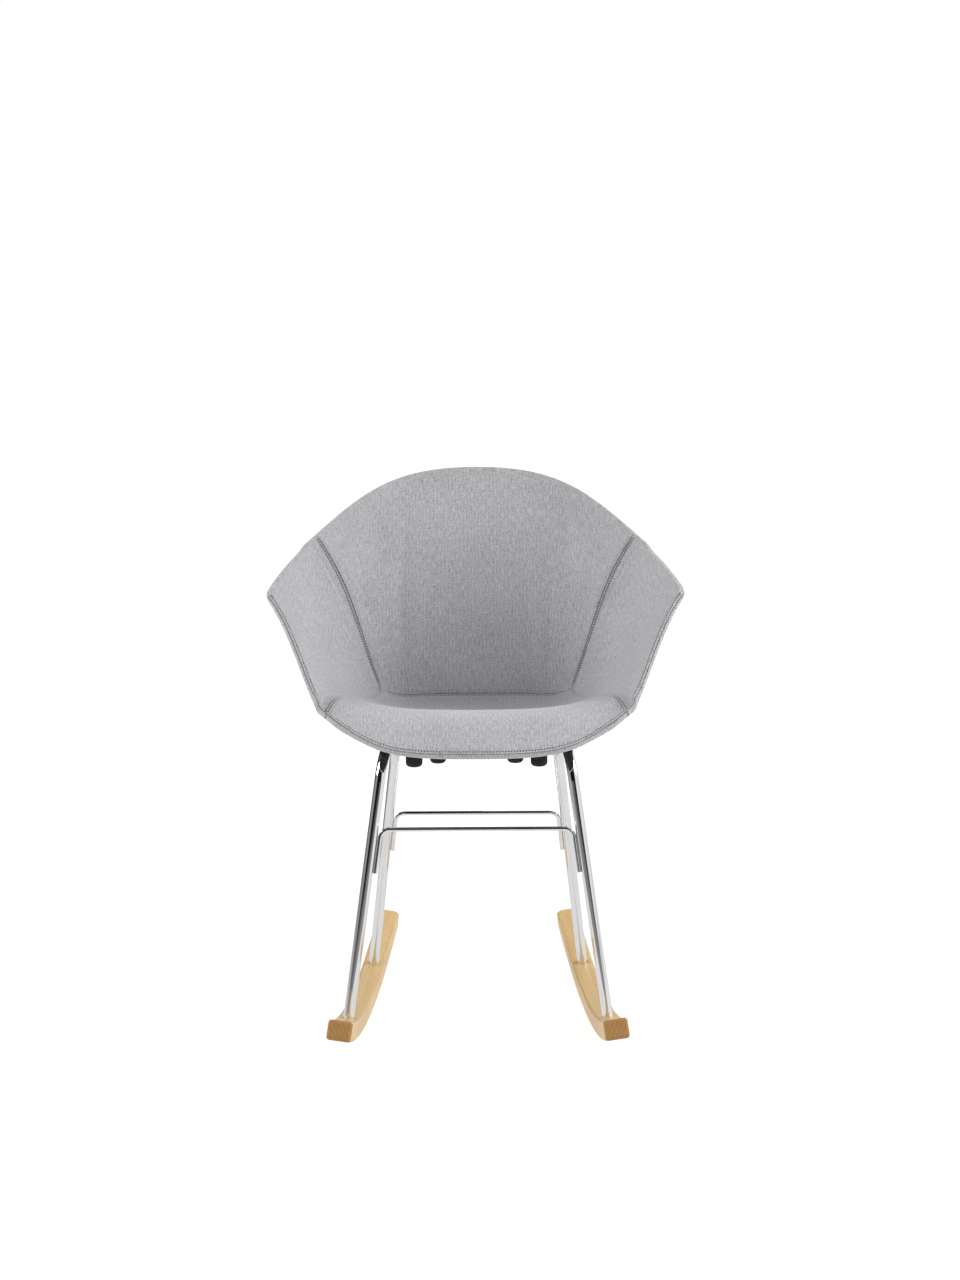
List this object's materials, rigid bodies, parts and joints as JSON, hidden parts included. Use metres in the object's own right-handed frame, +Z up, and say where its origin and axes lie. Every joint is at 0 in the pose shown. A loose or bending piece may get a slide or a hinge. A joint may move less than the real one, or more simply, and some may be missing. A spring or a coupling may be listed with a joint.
{
  "type": "upholstered rocking chair",
  "caption": "Rocking armchair: a fabric-covered padded bucket seat with flared arms on a chromed bent-tube base that stands on curved wooden runners.",
  "frame": {"origin": "on the floor, under the middle of the overall box; the runners touch the floor there and 22 mm behind it", "axes": "+Z up, the sitter faces -Y, +X to the right of a person facing the chair"},
  "size_m": [0.5956, 0.6454, 0.7822],
  "materials": {
    "inner_fabric": "matte",
    "outer_fabric": "matte",
    "foam": "matte",
    "moulding": "matte",
    "chrome": "polished",
    "black_steel": "satin",
    "beech": "satin",
    "black_plastic": "satin",
    "steel_fasteners": "satin",
    "brass": "satin"
  },
  "bodies": {
    "root": {"back_cover": "inner_fabric", "back_foam": "foam", "back_outer_cover": "outer_fabric", "fixing_caps": "black_plastic", "fixing_nuts": "steel_fasteners", "fixing_studs": "steel_fasteners", "fixing_washers": "steel_fasteners", "front_cross_bar": "black_steel", "front_saddles": "black_plastic", "front_stretcher": "chrome", "left_arm_cover": "inner_fabric", "left_arm_foam": "foam", "left_arm_outer_cover": "outer_fabric", "left_runner": "beech", "left_side_frame": "chrome", "leg_plugs": "steel_fasteners", "rear_cross_bar": "black_steel", "rear_saddles": "black_plastic", "rear_stretcher": "chrome", "right_arm_cover": "inner_fabric", "right_arm_foam": "foam", "right_arm_outer_cover": "outer_fabric", "right_runner": "beech", "right_side_frame": "chrome", "runner_bolts": "steel_fasteners", "seat_cover": "inner_fabric", "seat_foam": "foam", "seat_moulding": "moulding", "seat_outer_cover": "outer_fabric", "threaded_inserts": "brass"}
  },
  "joints": []
}
